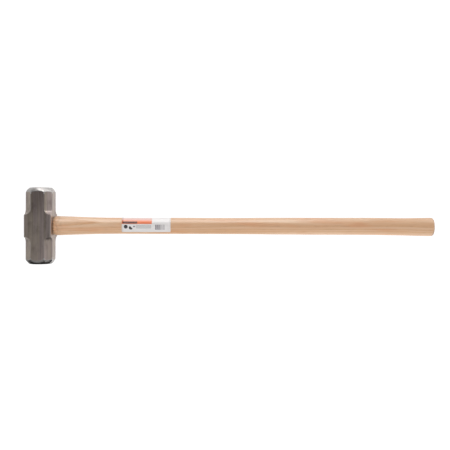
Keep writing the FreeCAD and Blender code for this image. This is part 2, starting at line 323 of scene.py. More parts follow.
def steps(tree, value, stops):
    """Turn a number into colours or greys, through stops of (place, value)."""
    ramp = tree.nodes.new("ShaderNodeValToRGB")
    elements = ramp.color_ramp.elements
    while len(elements) < len(stops):
        elements.new(0.5)
    for element, (place, level) in zip(elements, stops):
        element.position = place
        element.color = (level, level, level, 1) if isinstance(level, (int, float)) else (*level, 1)
    tree.links.new(value, ramp.inputs["Fac"])
    return ramp.outputs["Color"]


def blend_colours(tree, share_of_second, first, second, kind="MIX"):
    """Mix two colours."""
    mix = tree.nodes.new("ShaderNodeMix")
    mix.data_type = "RGBA"
    mix.blend_type = kind
    for socket, value in ((0, share_of_second), (6, first), (7, second)):
        if isinstance(value, bpy.types.NodeSocket):
            tree.links.new(value, mix.inputs[socket])
        elif socket == 0:
            mix.inputs[socket].default_value = value
        else:
            mix.inputs[socket].default_value = (*value, 1)
    return mix.outputs[2]


def bump(tree, shader, height, strength, distance):
    """Let a number raise and lower the surface in the light."""
    inputs = {"Height": height, "Strength": strength, "Distance": distance}
    tree.links.new(add(tree, "Bump", inputs), shader.inputs["Normal"])


def dress(tree, shader, colour, roughness, metal=0.0):
    """Give a shader its colour, its roughness and its share of metal."""
    tree.links.new(colour, shader.inputs["Base Color"])
    tree.links.new(roughness, shader.inputs["Roughness"])
    shader.inputs["Metallic"].default_value = metal


def varnish(shader, weight, roughness, index=1.5):
    """Lay a clear coat over a shader."""
    shader.inputs["Coat Weight"].default_value = weight
    shader.inputs["Coat Roughness"].default_value = roughness
    shader.inputs["Coat IOR"].default_value = index


def grey(level):
    """A grey of a brightness."""
    return (level, level, level)


def attribute(tree, name):
    """A number stored on the mesh."""
    made = tree.nodes.new("ShaderNodeAttribute")
    made.attribute_name = name
    return made.outputs["Fac"]


# Head


class SLEDGE_PG_head(bpy.types.PropertyGroup):
    """Sizes and colours of the forged head."""

    corner_cut: millimetres("Corner cut", 15.4, "Leg of the corner that each diagonal flat takes off")
    block: millimetres("Block", 47.5, "Length of the square block around the eye")
    cove: millimetres("Cove", 12.3, "Radius of the hollow that ends a diagonal flat")
    block_corner: millimetres("Block corner", 2, "Leg of the small corner left on the square block")
    shoulder_fall: millimetres("Shoulder fall", 1.9, "How far the gentle first bevel takes the flats down")
    shoulder_length: millimetres("Shoulder length", 3.6, "Length of the gentle first bevel")
    face_radius: millimetres("Face radius", 24.5, "Striking face inside its bevels")
    face_crown: millimetres("Face crown", 1, "Rise of the striking face at its middle")
    edge: millimetres("Edge", 0.9, "How wide the soft edges between the flats are")
    eye_major: millimetres("Eye length", 35, "Mouth of the eye along the striking axis")
    eye_minor: millimetres("Eye width", 26, "Mouth of the eye the other way")
    waist_major: millimetres("Waist length", 33, "Waist of the eye along the striking axis")
    waist_minor: millimetres("Waist width", 24, "Waist of the eye the other way")
    forged: tint("Forged steel", (0.385, 0.318, 0.3), "Varnished forged steel")
    oiled: tint("Oiled steel", (0.385, 0.325, 0.27), "Olive bands in the forged steel")
    scale: tint("Forge scale", (0.16, 0.125, 0.115), "Darker scale left in the hollows")
    ground: tint("Ground steel", (0.56, 0.54, 0.525), "Ground bevels and striking faces")


FLAT_PARTS = (-1, -0.93, -0.6, -0.3, 0, 0.3, 0.6, 0.93)
DIAGONAL_PARTS = (0, 0.06, 0.35, 0.65, 0.94)
EYE_REACH = 0.6  # part of the flat that the eye's opening takes up
BLOCK_RINGS = (0, 7, 14, 20.5)  # millimetres from the middle
COVE_STEPS = 6
FLAT_RINGS = (0.3, 0.6, 0.9)
SHOULDER_RINGS = (0, 0.12, 0.5, 0.88)
BEVEL_RINGS = (0, 0.16, 0.5, 0.84, 1)
FACE_RINGS = (0.965, 0.8, 0.55, 0.3, 0.1)
SWELL_DEPTH = 0.32  # millimetres, as is the next
PIT_DEPTH = 0.5


def head_outline(cut):
    """Places around a square bar whose corners are cut off by a leg, seen along the striking axis."""
    side = HALF_WIDTH
    reach = side - cut
    places = []
    for quarter in range(4):
        turn = Matrix.Rotation(quarter * math.pi / 2, 3, "Y")
        for part in FLAT_PARTS:
            places.append(turn @ Vector((side, 0, -part * reach)))
        for part in DIAGONAL_PARTS:
            start = Vector((side, 0, -reach))
            end = Vector((reach, 0, -side))
            places.append(turn @ start.lerp(end, part))
    return places


def head_rings(sizes):
    """Rings from the middle of the head to the middle of one striking face."""
    radius = sizes.cove
    depth = sizes.corner_cut / math.sqrt(2)
    block_depth = (sizes.corner_cut - sizes.block_corner) / math.sqrt(2)
    cove_end = sizes.block / 2 + math.sqrt(radius ** 2 - (radius - depth) ** 2)
    start_angle = math.acos((radius - block_depth) / radius)
    rings = []

    def level(y, cut):
        rings.append([EYE_CENTRE + place + Vector((0, y, 0)) for place in head_outline(cut)])

    for y in BLOCK_RINGS:
        level(y * MM, sizes.block_corner)
    cove_start = cove_end - radius * math.sin(start_angle)
    level(cove_start - sizes.edge, sizes.block_corner)
    for step in range(COVE_STEPS + 1):
        angle = start_angle * (1 - step / COVE_STEPS)
        rise = radius * (1 - math.cos(angle))
        level(cove_end - radius * math.sin(angle), sizes.corner_cut - rise * math.sqrt(2))
    flat_end = HALF_LENGTH - sizes.face_crown - (HALF_WIDTH - sizes.face_radius) - sizes.shoulder_length
    for part in FLAT_RINGS:
        level(cove_end + (flat_end - cove_end) * part, sizes.corner_cut)
    return rings + bevel_rings(sizes)


def bevel_rings(sizes):
    """Rings of the gentle first bevel, of the scalloped bevel and of the crowned striking face."""
    rim = HALF_LENGTH - sizes.face_crown
    fall = 1 - sizes.shoulder_fall / HALF_WIDTH
    outline = [place * fall for place in head_outline(sizes.corner_cut)]
    shoulder = []
    rim_places = []
    for place in outline:
        shoulder.append(place + Vector((0, rim - (place.length - sizes.face_radius), 0)))
        rim_places.append(place.normalized() * sizes.face_radius + Vector((0, rim, 0)))
    rings = []
    starts = [Vector((place.x / fall, place.y - sizes.shoulder_length, place.z / fall)) for place in shoulder]
    rings.append([place - Vector((0, sizes.edge, 0)) for place in starts])
    for part in SHOULDER_RINGS:
        rings.append([a.lerp(b, part) for a, b in zip(starts, shoulder)])
    for part in BEVEL_RINGS:
        rings.append([a.lerp(b, part) for a, b in zip(shoulder, rim_places)])
    for part in FACE_RINGS:
        rise = sizes.face_crown * (1 - part ** 2)
        rings.append([Vector((place.x * part, rim + rise, place.z * part)) for place in rim_places])
    return [[EYE_CENTRE + place for place in ring] for ring in rings]


def close_ring(bm, ring):
    """Close a small ring at its middle."""
    middle = sum((vert.co for vert in ring), Vector()) / len(ring)
    tip = next_ring(bm, ring, [middle] * len(ring))
    bmesh.ops.pointmerge(bm, verts=tip, merge_co=middle)


def open_eye(bm, side, sizes):
    """Open the eye in one cheek: a rectangle of faces makes way for an oval mouth."""
    reach = (HALF_WIDTH - sizes.block_corner) * EYE_REACH + sizes.edge / 2
    far = BLOCK_RINGS[-1] * MM
    doomed = []
    for face in bm.faces:
        middle = face.calc_center_median() - EYE_CENTRE
        flat = abs(middle.x - side * HALF_WIDTH) < MM / 10
        if flat and abs(middle.y) < far and abs(middle.z) < reach:
            doomed.append(face)
    bmesh.ops.delete(bm, geom=doomed, context="FACES")
    rim = [edge for edge in bm.edges if edge.is_boundary and edge.verts[0].co.x * side > 0]
    rim_verts = {vert for edge in rim for vert in edge.verts}
    ring = sorted(rim_verts, key=lambda vert: math.atan2(vert.co.z - AXIS_HEIGHT, vert.co.y))
    major = sizes.eye_major / 2
    minor = sizes.eye_minor / 2
    edge = sizes.edge
    angles = [
        math.atan2((vert.co.z - AXIS_HEIGHT) / sizes.eye_minor, vert.co.y / sizes.eye_major) for vert in ring
    ]
    # Depth below the cheek and how much wider than the eye: the soft rim of the mouth, then its wall.
    rim_rings = ((0, edge), (edge * 0.3, edge * 0.3), (edge, 0), (HALF_WIDTH / 2, -MM * 0.6))
    for depth, wider in rim_rings:
        x = side * (HALF_WIDTH - depth)
        places = []
        for angle in angles:
            across = Vector((x, (major + wider) * math.cos(angle), (minor + wider) * math.sin(angle)))
            places.append(EYE_CENTRE + across)
        ring = next_ring(bm, ring, places)
    return ring


def build_head_cage(sizes):
    """Loft the head's rings both ways from its middle, and open the eye through it."""
    bm = bmesh.new()
    rings = head_rings(sizes)
    middle = ring_of(bm, rings[0])
    for side in (1, -1):
        turned = [[Vector((place.x, side * place.y, place.z)) for place in places] for places in rings[1:]]
        close_ring(bm, loft(bm, middle, turned))
    last = [open_eye(bm, side, sizes) for side in (1, -1)]
    bmesh.ops.bridge_loops(bm, edges=ring_edges(last[0]) + ring_edges(last[1]))
    return bm


def ground_face(face, sizes):
    """Say whether a face of the head is on its ground bevel or striking face."""
    middle = face.calc_center_median() - EYE_CENTRE
    around = math.hypot(middle.x, middle.z)
    shoulder = HALF_LENGTH - sizes.face_crown - (around - sizes.face_radius) - sizes.shoulder_length
    return abs(middle.y) > shoulder


def forge_surface(piece):
    """Press the shallow hollows and dents of a forging into the head's flats."""
    for vert in piece.data.vertices:
        place = vert.co - EYE_CENTRE
        across = Vector((place.x * 34, place.y * 16, place.z * 34))
        swell = 0.5 + 0.5 * noise.noise(across)
        pits = max(0, noise.noise(place * 210) - 0.28)
        fade = 1 - ease(HALF_LENGTH - 9 * MM, HALF_LENGTH - 5 * MM, abs(place.y))
        inward = Vector((-place.x, 0, -place.z)).normalized()
        vert.co += inward * fade * (swell * SWELL_DEPTH + pits * PIT_DEPTH) * MM
    piece.data.update()


def forged_steel(sizes):
    """Varnished forged steel: drawn streaks along the striking axis, dark scale and fine pits."""
    material, tree, shader = new_material("forged_steel")
    drawn = stretched(tree, (260, 9, 260), detail=5, roughness=0.6)
    bands = stretched(tree, (75, 5, 75), detail=2)
    blotches = stretched(tree, (38, 24, 38), detail=5, roughness=0.62)
    pits = cloud(tree, object_place(tree), 620, detail=3, roughness=0.6)
    base = blend_colours(tree, steps(tree, bands, ((0.42, 0), (0.58, 1))), sizes.forged, sizes.oiled)
    blotched = steps(tree, blotches, ((0.5, 0), (0.72, 0.6)))
    darker = maths(tree, "MULTIPLY_ADD", scorched_cheeks(tree), 0.55, blotched, clamp=True)
    base = blend_colours(tree, darker, base, sizes.scale)
    base = blend_colours(tree, 0.5, base, steps(tree, drawn, ((0.3, 0.3), (0.7, 0.85))), kind="OVERLAY")
    wear = times(tree, attribute(tree, "wear"), steps(tree, blotches, ((0.4, 0), (0.7, 0.8))))
    base = blend_colours(tree, wear, base, sizes.ground)
    dress(tree, shader, base, steps(tree, blotches, ((0.3, 0.38), (0.7, 0.3))), metal=0.95)
    varnish(shader, 0.3, 0.15)
    height = maths(tree, "ADD", times(tree, drawn, 0.6), times(tree, pits, 0.5))
    bump(tree, shader, height, 0.35, 0.0004)
    return material


def scorched_cheeks(tree):
    """How dark the heat has left the cheeks, most of all near the upper striking face."""
    parts = split(tree, object_place(tree, move=tuple(-EYE_CENTRE)))
    ragged = stretched(tree, (90, 30, 90), detail=4)
    cheek = smooth_step(tree, maths(tree, "ABSOLUTE", parts["Z"]), HALF_WIDTH - 2 * MM, HALF_WIDTH - MM)
    reach = maths(tree, "MULTIPLY_ADD", ragged, 0.05, parts["Y"])
    return times(tree, cheek, smooth_step(tree, reach, 0.02, 0.1))


def ground_steel(sizes):
    """Bright ground steel with fine turning marks around the striking axis."""
    material, tree, shader = new_material("ground_steel")
    place = object_place(tree, move=tuple(-EYE_CENTRE))
    around = add(tree, "VectorMath", {0: place, 1: (1, 0, 1)}, operation="MULTIPLY")
    marks = add(tree, "CombineXYZ", {"X": times(tree, distance_from(tree, around), 2600)})
    rings = cloud(tree, marks, 1, detail=3, roughness=0.7)
    clouds = cloud(tree, object_place(tree), 60, detail=4)
    turned = tuple(0.82 * level for level in sizes.ground)
    base = blend_colours(tree, steps(tree, rings, ((0.35, 0), (0.65, 1))), turned, sizes.ground)
    base = blend_colours(tree, steps(tree, clouds, ((0.55, 0), (0.8, 0.5))), base, sizes.forged)
    dress(tree, shader, base, steps(tree, clouds, ((0.3, 0.24), (0.7, 0.36))), metal=1)
    varnish(shader, 0.2, 0.15)
    bump(tree, shader, rings, 0.3, 0.0002)
    return material


class SLEDGE_OT_head(bpy.types.Operator):
    """Forge the double-face head around its eye"""

    bl_idname = "sledgehammer.head"
    bl_label = "Head"

    def execute(self, context):
        """Build the head."""
        sizes = context.scene.sledge_head
        bm = build_head_cage(sizes)
        bmesh.ops.recalc_face_normals(bm, faces=bm.faces)
        for face in bm.faces:
            face.material_index = 1 if ground_face(face, sizes) else 0
        wear = bm.verts.layers.float.new("wear")
        for vert in bm.verts:
            bend = max((edge.calc_face_angle(0) for edge in vert.link_edges), default=0)
            vert[wear] = 1 if bend > math.radians(20) else 0
        piece = finish_mesh("forged_head", bm, (forged_steel(sizes), ground_steel(sizes)))
        subdivide(piece, 2)
        forge_surface(piece)
        settle(piece, "head")
        return {"FINISHED"}


# Handle


class SLEDGE_PG_handle(bpy.types.PropertyGroup):
    """Sizes and colours of the wooden handle. A size is the long way across its oval."""

    oval: share("Oval", 0.82, "Short way across the oval over the long way")
    shoulder: millimetres("Shoulder", 40, "Where the handle butts against the head")
    collar: millimetres("Collar", 42.8, "Thickest place behind the shoulder")
    neck: millimetres("Neck", 40.8, "Neck, 70 mm from the middle of the head")
    throat: millimetres("Throat", 38.2, "Throat, where the neck thins")
    shaft: millimetres("Shaft", 36.2, "Straight shaft")
    grip: millimetres("Grip", 37.4, "Start of the grip's swell")
    palm: millimetres("Palm", 38, "Middle of the grip")
    heel: millimetres("Heel", 38.6, "End of the grip")
    flare: millimetres("Flare", 40.2, "Flare towards the butt")
    butt: millimetres("Butt", 40.9, "Butt")
    butt_drop: millimetres("Butt drop", 0.9, "How far the flare leans to one side")
    butt_radius: millimetres("Butt rounding", 6, "Rounding of the butt's rim")
    butt_crown: millimetres("Butt crown", 2.4, "Rise of the butt's end at its middle")
    pale: tint("Pale wood", (0.77, 0.545, 0.37), "Latewood between the pores")
    warm: tint("Warm wood", (0.63, 0.345, 0.175), "Earlywood and broad figure")
    blush: tint("Blush", (0.66, 0.3, 0.14), "Orange patches in the figure")
    pore: tint("Pores", (0.36, 0.21, 0.125), "Open pores and cut fibres")


HANDLE_PLACES = (37, 70, 108, 159, 425, 531, 708, 797, 833)
HANDLE_SEGMENTS = 32
# Smoothing a cage of this many sides draws it in by this share.
CAGE_SHRINK = (2 + math.cos(2 * math.pi / HANDLE_SEGMENTS)) / 3
TENON_RINGS = (-20, -10, 0, 10, 20)  # millimetres from the middle of the eye
SHAFT_START = 46 * MM
SHAFT_STEP = 11 * MM
SHAFT_SPARE = 26 * MM
RIM_STEPS = 4
CROWN_RINGS = (0.85, 0.6, 0.35, 0.12)
SAWN_END_RINGS = (0.97, 0.6, 0.2)
GROWTH_RING = 3.4 * MM
LACQUER_INDEX = 1.62


def handle_oval(sizes, at):
    """Half the long way across the handle, and its lean, at a place along it."""
    places = [place * MM for place in HANDLE_PLACES] + [BUTT_END]
    across = (
        sizes.collar, sizes.neck, sizes.throat, sizes.shaft, sizes.shaft,
        sizes.grip, sizes.palm, sizes.heel, sizes.flare, sizes.butt,
    )
    lean = sizes.butt_drop * ease(0.708, 0.833, at)
    return smooth_line(places, across, at) / 2, lean


def oval_places(at, major, minor, lean=0.0):
    """Places around an oval across the handle."""
    places = []
    for step in range(HANDLE_SEGMENTS):
        angle = 2 * math.pi * step / HANDLE_SEGMENTS
        offset = Vector((at, major * math.cos(angle) - lean, minor * math.sin(angle)))
        places.append(Vector((0, 0, AXIS_HEIGHT)) + offset)
    return places


def eye_oval(eye, at):
    """Half the long and the short way across the eye, at a place along the handle."""
    part = (at / HALF_WIDTH) ** 2
    major = eye.waist_major + (eye.eye_major - eye.waist_major) * part
    minor = eye.waist_minor + (eye.eye_minor - eye.waist_minor) * part
    return major / 2, minor / 2


def handle_rings(sizes, eye):
    """Rings of the handle from the sawn end of the tenon to the butt."""
    grow = 1 / CAGE_SHRINK
    clear = 0.1 * MM
    rings = []

    def add_ring(at, major, minor, lean=0.0):
        rings.append(oval_places(at, major * grow, minor * grow, lean))

    tenon = [at * MM for at in TENON_RINGS]
    for at in (TENON_END, TENON_END + 0.5 * MM, *tenon, HALF_WIDTH - 0.6 * MM, HALF_WIDTH):
        major, minor = eye_oval(eye, at)
        add_ring(at, major - clear, minor - clear)
    shoulder = sizes.shoulder / 2
    collar = sizes.collar / 2
    neck_rings = (
        (HALF_WIDTH, shoulder - 0.8 * MM),
        (HALF_WIDTH, shoulder),
        (HALF_WIDTH + 0.7 * MM, shoulder + 0.2 * MM),
        (33 * MM, (shoulder + collar) / 2),
        (37 * MM, collar),
        (40 * MM, collar),
    )
    for at, major in neck_rings:
        add_ring(at, major, major * sizes.oval)
    shaft = []
    at = SHAFT_START
    while at < BUTT_END - SHAFT_SPARE:
        shaft.append(at)
        at += SHAFT_STEP
    for at in shaft + [BUTT_END - 18 * MM, BUTT_END - 10 * MM]:
        major, lean = handle_oval(sizes, at)
        add_ring(at, major, major * sizes.oval, lean)
    radius = sizes.butt_radius
    major, lean = handle_oval(sizes, BUTT_END)
    minor = major * sizes.oval
    rim = BUTT_END - sizes.butt_crown
    for step in range(RIM_STEPS + 1):
        angle = step * math.pi / 2 / RIM_STEPS
        inset = radius * (1 - math.cos(angle))
        add_ring(rim - radius * (1 - math.sin(angle)), major - inset, minor - inset, lean)
    for part in CROWN_RINGS:
        rise = sizes.butt_crown * (1 - part ** 2)
        add_ring(rim + rise, (major - radius) * part, (minor - radius) * part, lean)
    return rings


def shave_surface(piece, sizes):
    """Give the handle the faint flats of its sanding and the rough shave marks behind the head."""
    for vert in piece.data.vertices:
        at = vert.co.x
        place = Vector((0, vert.co.y, vert.co.z - AXIS_HEIGHT))
        if at < HALF_WIDTH or place.length < MM:
            continue
        outward = place.normalized()
        faint = noise.noise(Vector((at * 9, vert.co.y * 60, vert.co.z * 60))) - 0.5
        rough = noise.noise(Vector((at * 260, vert.co.y * 190, vert.co.z * 190))) - 0.4
        near_head = ease(HALF_WIDTH, HALF_WIDTH + MM, at) * (1 - ease(34 * MM, 47 * MM, at))
        vert.co += outward * (0.14 * faint * ease(0.04, 0.08, at) + 0.5 * rough * near_head) * MM
    piece.data.update()


def sound_wood(sizes):
    """Pale ring-porous wood, split along its grain: rings, pores, fibres and a rough dark shoulder, with
    painted shade in the join behind the head and on the butt's lower side.
    """
    material, tree, shader = new_material("handle_wood")
    waves = stretched(tree, (1.6, 14, 14), detail=2)
    grain = object_place(tree, move=(0, 0.038, 0.072), turn=(0, 0.006, 0.011))
    across = add(tree, "VectorMath", {0: grain, 1: (0, 1, 1)}, operation="MULTIPLY")
    warped = maths(tree, "MULTIPLY_ADD", waves, 0.009, distance_from(tree, across))
    ring = maths(tree, "FRACT", times(tree, warped, 1 / GROWTH_RING))
    early = steps(tree, ring, ((0, 1), (0.2, 0.55), (0.45, 0.12), (0.9, 0), (1, 0.7)))
    fibres = stretched(tree, (7, 520, 520), detail=4, roughness=0.6)
    broad = stretched(tree, (2.2, 55, 55), detail=3)
    pores = stretched(tree, (60, 1500, 1500), detail=2)
    figure = maths(tree, "MULTIPLY_ADD", early, 0.5, times(tree, fibres, 0.55))
    base = blend_colours(tree, steps(tree, figure, ((0.12, 0), (0.75, 1))), sizes.pale, sizes.warm)
    base = blend_colours(tree, steps(tree, broad, ((0.42, 0), (0.68, 0.7))), base, sizes.warm)
    patches = cloud(tree, object_place(tree, scale=(9, 70, 70), move=(3, 1, 2)), 1, detail=3)
    base = blend_colours(tree, steps(tree, patches, ((0.5, 0), (0.66, 0.5))), base, sizes.blush)
    open_pores = steps(tree, pores, ((0.56, 0), (0.66, 1)))
    pitted = times(tree, open_pores, maths(tree, "MULTIPLY_ADD", early, 0.6, 0.1))
    base = blend_colours(tree, times(tree, pitted, 0.8), base, sizes.pore)
    # Painted shade in the join behind the head, and the real shave marks past it.
    base = blend_colours(tree, shoulder_shade_and_marks(tree), base, tuple(0.6 * level for level in sizes.pore))
    # Darker end grain at the butt, and painted shade on its lower side.
    base = blend_colours(tree, butt_grain_and_shade(tree), base, sizes.pore)
    dress(tree, shader, base, steps(tree, fibres, ((0.3, 0.38), (0.7, 0.5))))
    varnish(shader, 1, 0.22, LACQUER_INDEX)
    height = maths(tree, "SUBTRACT", times(tree, fibres, 0.5), times(tree, pitted, 0.8))
    bump(tree, shader, height, 0.4, 0.00025)
    return material


def shoulder_shade_and_marks(tree):
    """How dark the rough wood behind the head is: a ragged brown edge where it leaves the eye, painted shade
    in the join mixed with darkened fibres, then scattered shave marks.
    """
    parts = split(tree, object_place(tree))
    ragged = stretched(tree, (60, 260, 260), detail=5, roughness=0.65)
    at = maths(tree, "MULTIPLY_ADD", ragged, -0.016, parts["X"])
    # Painted shade: the ragged dark band right where the handle leaves the head.
    near = rest_of(tree, smooth_step(tree, at, 0.021, 0.0265))
    marks = stretched(tree, (190, 130, 130), detail=4)
    rough = rest_of(tree, smooth_step(tree, parts["X"], 0.04, 0.055))
    marks = times(tree, rough, steps(tree, marks, ((0.42, 0), (0.68, 0.5))))
    outside = smooth_step(tree, parts["X"], 0.026, 0.028)
    return times(tree, maths(tree, "MAXIMUM", near, marks), times(tree, outside, 0.85))


def butt_grain_and_shade(tree):
    """How much darker the lacquer leaves the end grain round the butt's rim, with painted shade reaching
    further along the side towards the lower striking face.
    """
    parts = split(tree, object_place(tree))
    # The slant towards the lower striking face paints shade on the butt's lower side.
    at = maths(tree, "MULTIPLY_ADD", parts["Y"], -0.25, parts["X"])
    return times(tree, smooth_step(tree, at, BUTT_END - 5 * MM, BUTT_END - 1.5 * MM), 0.8)


class SLEDGE_OT_handle(bpy.types.Operator):
    """Shape the one-piece handle, from its sawn tenon to its butt"""

    bl_idname = "sledgehammer.handle"
    bl_label = "Handle"

    def execute(self, context):
        """Build the handle."""
        sizes = context.scene.sledge_handle
        bm = bmesh.new()
        rings = handle_rings(sizes, context.scene.sledge_head)
        first = ring_of(bm, rings[0])
        close_ring(bm, loft(bm, first, rings[1:]))
        middle = Vector((TENON_END, 0, AXIS_HEIGHT))
        sawn_end = [[middle.lerp(place, part) for place in rings[0]] for part in SAWN_END_RINGS]
        close_ring(bm, loft(bm, first, sawn_end))
        piece = finish_mesh("handle_shaft", bm, (sound_wood(sizes),))
        subdivide(piece, 2)
        shave_surface(piece, sizes)
        wedges = context.scene.sledge_wedges
        kerf = kerf_solid(wedges, context.scene.sledge_head, wedges.gap)
        cut_away(piece, finish_mesh("kerf", kerf, ()))
        for low, high in STEEL_BOXES:
            cut_away(piece, finish_mesh("slot", steel_solid(wedges, low, high, wedges.gap), ()))
        mark_creases(piece, 50)
        settle(piece, "handle")
        return {"FINISHED"}


# Wedges


class SLEDGE_PG_wedges(bpy.types.PropertyGroup):
    """Sizes and colours of the wooden wedge and of the two steel wedges driven across it."""

    kerf_tip: millimetres("Kerf tip", 1.2, "Thin end of the wooden wedge")
    steel_tip: millimetres("Steel tip", 0.8, "Thin end of a steel wedge")
    steel_edge: millimetres("Steel edge", 0.3, "Soft edges of a steel wedge")
    dents: millimetres("Dents", 0.35, "Depth of the hammer marks on a steel wedge")
    gap: millimetres("Gap", 0.12, "Dark gap left around each wedge")
    wood: tint("Wedge wood", (0.45, 0.27, 0.15), "Wooden wedge, across its grain")
    wood_lines: tint("Wedge grain", (0.24, 0.13, 0.065), "Dark lines in the wooden wedge")
    steel: tint("Wedge steel", (0.42, 0.41, 0.4), "Steel wedges")
    rust: tint("Wedge rust", (0.16, 0.075, 0.035), "Stains on the steel wedges")


WEDGE_RINGS = 8


def kerf_solid(sizes, eye, gap):
    """The slice of the eye's oval that the wooden wedge fills, grown by a gap."""
    bm = bmesh.new()
    rings = []
    for step in range(WEDGE_RINGS + 1):
        part = step / WEDGE_RINGS
        at = WEDGE_LOW.x + (WEDGE_HIGH.x - WEDGE_LOW.x) * part
        half = ((WEDGE_HIGH.z - WEDGE_LOW.z) * (1 - part) + sizes.kerf_tip * part) / 2 + gap
        major, minor = eye_oval(eye, at)
        # The cutter reaches past the tenon's sides, and the wedge itself stays clear of the eye.
        reach = 2 * gap if gap else -sizes.gap
        places = oval_places(at - gap, major + reach, minor)
        for place in places:
            place.z = min(AXIS_HEIGHT + half, max(AXIS_HEIGHT - half, place.z))
        rings.append(places)
    first = ring_of(bm, rings[0])
    for end in (first, loft(bm, first, rings[1:])):
        bmesh.ops.edgeloop_fill(bm, edges=ring_edges(end))
    return bm


def steel_solid(sizes, low, high, gap):
    """One tapered steel wedge, thick at the tenon's end, grown by a gap."""
    bm = bmesh.new()
    centre = (low + high) / 2
    spans = high - low
    for vert in bmesh.ops.create_cube(bm, size=1)["verts"]:
        thick = sizes.steel_tip if vert.co.x > 0 else spans.y
        vert.co.x = centre.x + vert.co.x * (spans.x + 2 * gap)
        vert.co.y = centre.y + vert.co.y * (thick + 2 * gap)
        vert.co.z = centre.z + vert.co.z * (spans.z + 2 * gap)
    return bm


def dent_top(piece, sizes):
    """Hammer the outer end of a steel wedge."""
    for vert in piece.data.vertices:
        depth = max(0, noise.noise(vert.co * 420) + 0.25) * sizes.dents
        vert.co.x += depth * (1 - ease(WEDGE_LOW.x, WEDGE_LOW.x + 2 * MM, vert.co.x))
    piece.data.update()


def end_grain(sizes):
    """Wooden wedge: fine dark lines across its sawn end, soaked with lacquer."""
    material, tree, shader = new_material("wedge_wood")
    lines = stretched(tree, (40, 90, 900), detail=3)
    pores = stretched(tree, (200, 1400, 1400), detail=2)
    base = blend_colours(tree, steps(tree, lines, ((0.4, 0), (0.62, 1))), sizes.wood, sizes.wood_lines)
    base = blend_colours(tree, steps(tree, pores, ((0.6, 0), (0.7, 0.8))), base, sizes.wood_lines)
    dress(tree, shader, base, steps(tree, lines, ((0.3, 0.45), (0.7, 0.62))))
    varnish(shader, 0.3, 0.25)
    bump(tree, shader, pores, 0.5, 0.0003)
    return material


def struck_steel(sizes):
    """Plain steel wedge, bright where it was struck and stained between."""
    material, tree, shader = new_material("wedge_steel")
    stains = cloud(tree, object_place(tree), 260, detail=5, roughness=0.65)
    scratches = stretched(tree, (300, 1800, 240), detail=2)
    base = blend_colours(tree, steps(tree, stains, ((0.5, 0), (0.66, 0.85))), sizes.steel, sizes.rust)
    dress(tree, shader, base, steps(tree, stains, ((0.35, 0.3), (0.65, 0.6))), metal=0.9)
    bump(tree, shader, scratches, 0.3, 0.0002)
    return material


class SLEDGE_OT_wood_wedge(bpy.types.Operator):
    """Cut the wooden wedge that spreads the tenon in the eye"""

    bl_idname = "sledgehammer.wood_wedge"
    bl_label = "Wooden wedge"

    def execute(self, context):
        """Build the wooden wedge."""
        sizes = context.scene.sledge_wedges
        bm = kerf_solid(sizes, context.scene.sledge_head, 0)
        piece = finish_mesh("wooden_wedge", bm, (end_grain(sizes),))
        for low, high in STEEL_BOXES:
            cut_away(piece, finish_mesh("slot", steel_solid(sizes, low, high, sizes.gap), ()))
        mark_creases(piece, 30)
        settle(piece, "wood_wedge")
        return {"FINISHED"}


class SLEDGE_OT_steel_wedges(bpy.types.Operator):
    """Make the two steel wedges driven across the wooden one"""

    bl_idname = "sledgehammer.steel_wedges"
    bl_label = "Steel wedges"

    def execute(self, context):
        """Build both steel wedges."""
        sizes = context.scene.sledge_wedges
        finish = struck_steel(sizes)
        for node, (low, high) in zip(STEEL_NODES, STEEL_BOXES):
            bm = steel_solid(sizes, low, high, 0)
            bmesh.ops.bevel(
                bm, geom=bm.edges[:], offset=sizes.steel_edge, segments=2, profile=0.5, affect="EDGES",
                material=-1,
            )
            piece = finish_mesh(f"{node}_struck", bm, (finish,))
            subdivide(piece, 3, kind="SIMPLE")
            dent_top(piece, sizes)
            settle(piece, node)
        return {"FINISHED"}


# Label


class SLEDGE_PG_label(bpy.types.PropertyGroup):
    """Place, thickness and inks of the paper label."""

    turn: turning("Turn", math.radians(52.5), "Its middle, from the striking axis")
    thickness: millimetres("Thickness", 0.14, "Paper and its glue")
    lift: millimetres("Lift", 0.2, "Its face above the wood")
    corner: millimetres("Corner", 2.5, "Rounding of its corners")
    paper: tint("Paper", (0.77, 0.74, 0.73), "White paper")
    band: tint("Band", (0.78, 0.16, 0.035), "Printed orange band")
    bar: tint("Bar", (0.11, 0.025, 0.012), "Dark brown bar printed on the band")
    ink: tint("Ink", (0.03, 0.026, 0.03), "Black ink")
    rules: tint("Rules", (0.22, 0.23, 0.24), "Thin grey rules")
    stripes: tint("Stripes", (0.09, 0.07, 0.1), "Upright stripes")


LABEL_STRIPS = (24, 40)


